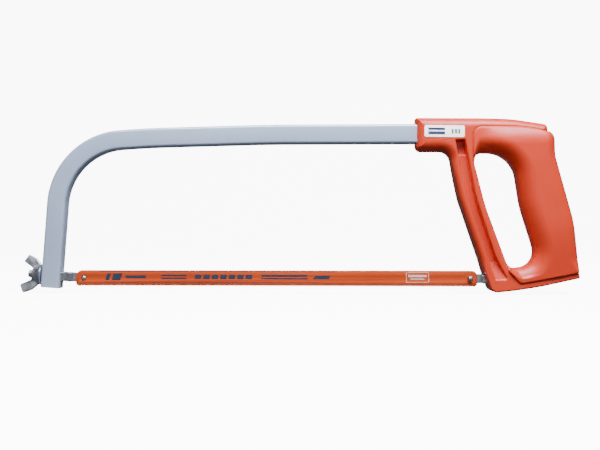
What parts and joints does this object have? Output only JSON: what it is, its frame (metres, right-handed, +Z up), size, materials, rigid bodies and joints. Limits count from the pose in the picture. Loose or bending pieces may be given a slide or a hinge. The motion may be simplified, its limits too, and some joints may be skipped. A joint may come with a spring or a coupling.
{
  "type": "hacksaw",
  "caption": "Bow-frame hand hacksaw with a cast pistol-grip handle, wing-nut blade tension, sliding blade holders and a lift-off blade.",
  "frame": {"origin": "centre of the flat underside of the bow's level top bar, on the frame's middle plane", "axes": "+X along the blade from the wing nut to the handle, +Z up from the blade to the bow, +Y away from the blade's open side"},
  "size_m": [0.4305, 0.029, 0.1352],
  "materials": {
    "bow_metal": "satin nickel-grey plated steel tube",
    "handle_enamel": "glossy orange-red enamel over an aluminium casting",
    "blade_paint": null,
    "tooth_steel": "thin orange paint over high-speed steel teeth",
    "bright_zinc": "bright zinc plating",
    "label_white": null,
    "plug_black": "black moulded plug"
  },
  "bodies": {
    "frame": {"bow_tube": "bow_metal", "leg_end_plug": "plug_black", "handle": "handle_enamel", "label": "label_white", "socket_pin_front": "bright_zinc", "socket_pin_rear": "bright_zinc", "rear_retaining_pin": "bright_zinc"},
    "wing_nut": {"wing_nut": "bright_zinc"},
    "front_holder": {"front_holder": "bright_zinc", "front_peg": "bright_zinc"},
    "rear_holder": {"rear_holder": "bright_zinc", "rear_peg": "bright_zinc"},
    "blade": {"blade_back": "blade_paint", "blade_tooth_edge": "tooth_steel"}
  },
  "joints": [
    {"name": "wing_nut_spin", "type": "hinge", "parent": "frame", "child": "wing_nut", "pos_m": [-0.2325, 0, -0.1014], "axis": [-0.9971, 0, 0.0767], "range_deg": [0, 1080]},
    {"name": "front_holder_slide", "type": "slide", "parent": "frame", "child": "front_holder", "axis": [0.9971, 0, -0.0767], "range_m": [0, 0.003]},
    {"name": "rear_holder_slide", "type": "slide", "parent": "frame", "child": "rear_holder", "axis": [1, 0, 0], "range_m": [0, 0.003]},
    {"name": "blade_lift_off", "type": "slide", "parent": "front_holder", "child": "blade", "axis": [0, -1, 0], "range_m": [0, 0.006]}
  ],
  "couplings": [
    {"joint": "wing_nut_spin", "follows": "front_holder_slide", "rad_per_m": 6283.2},
    {"joint": "rear_holder_slide", "follows": "front_holder_slide", "ratio": 1}
  ]
}
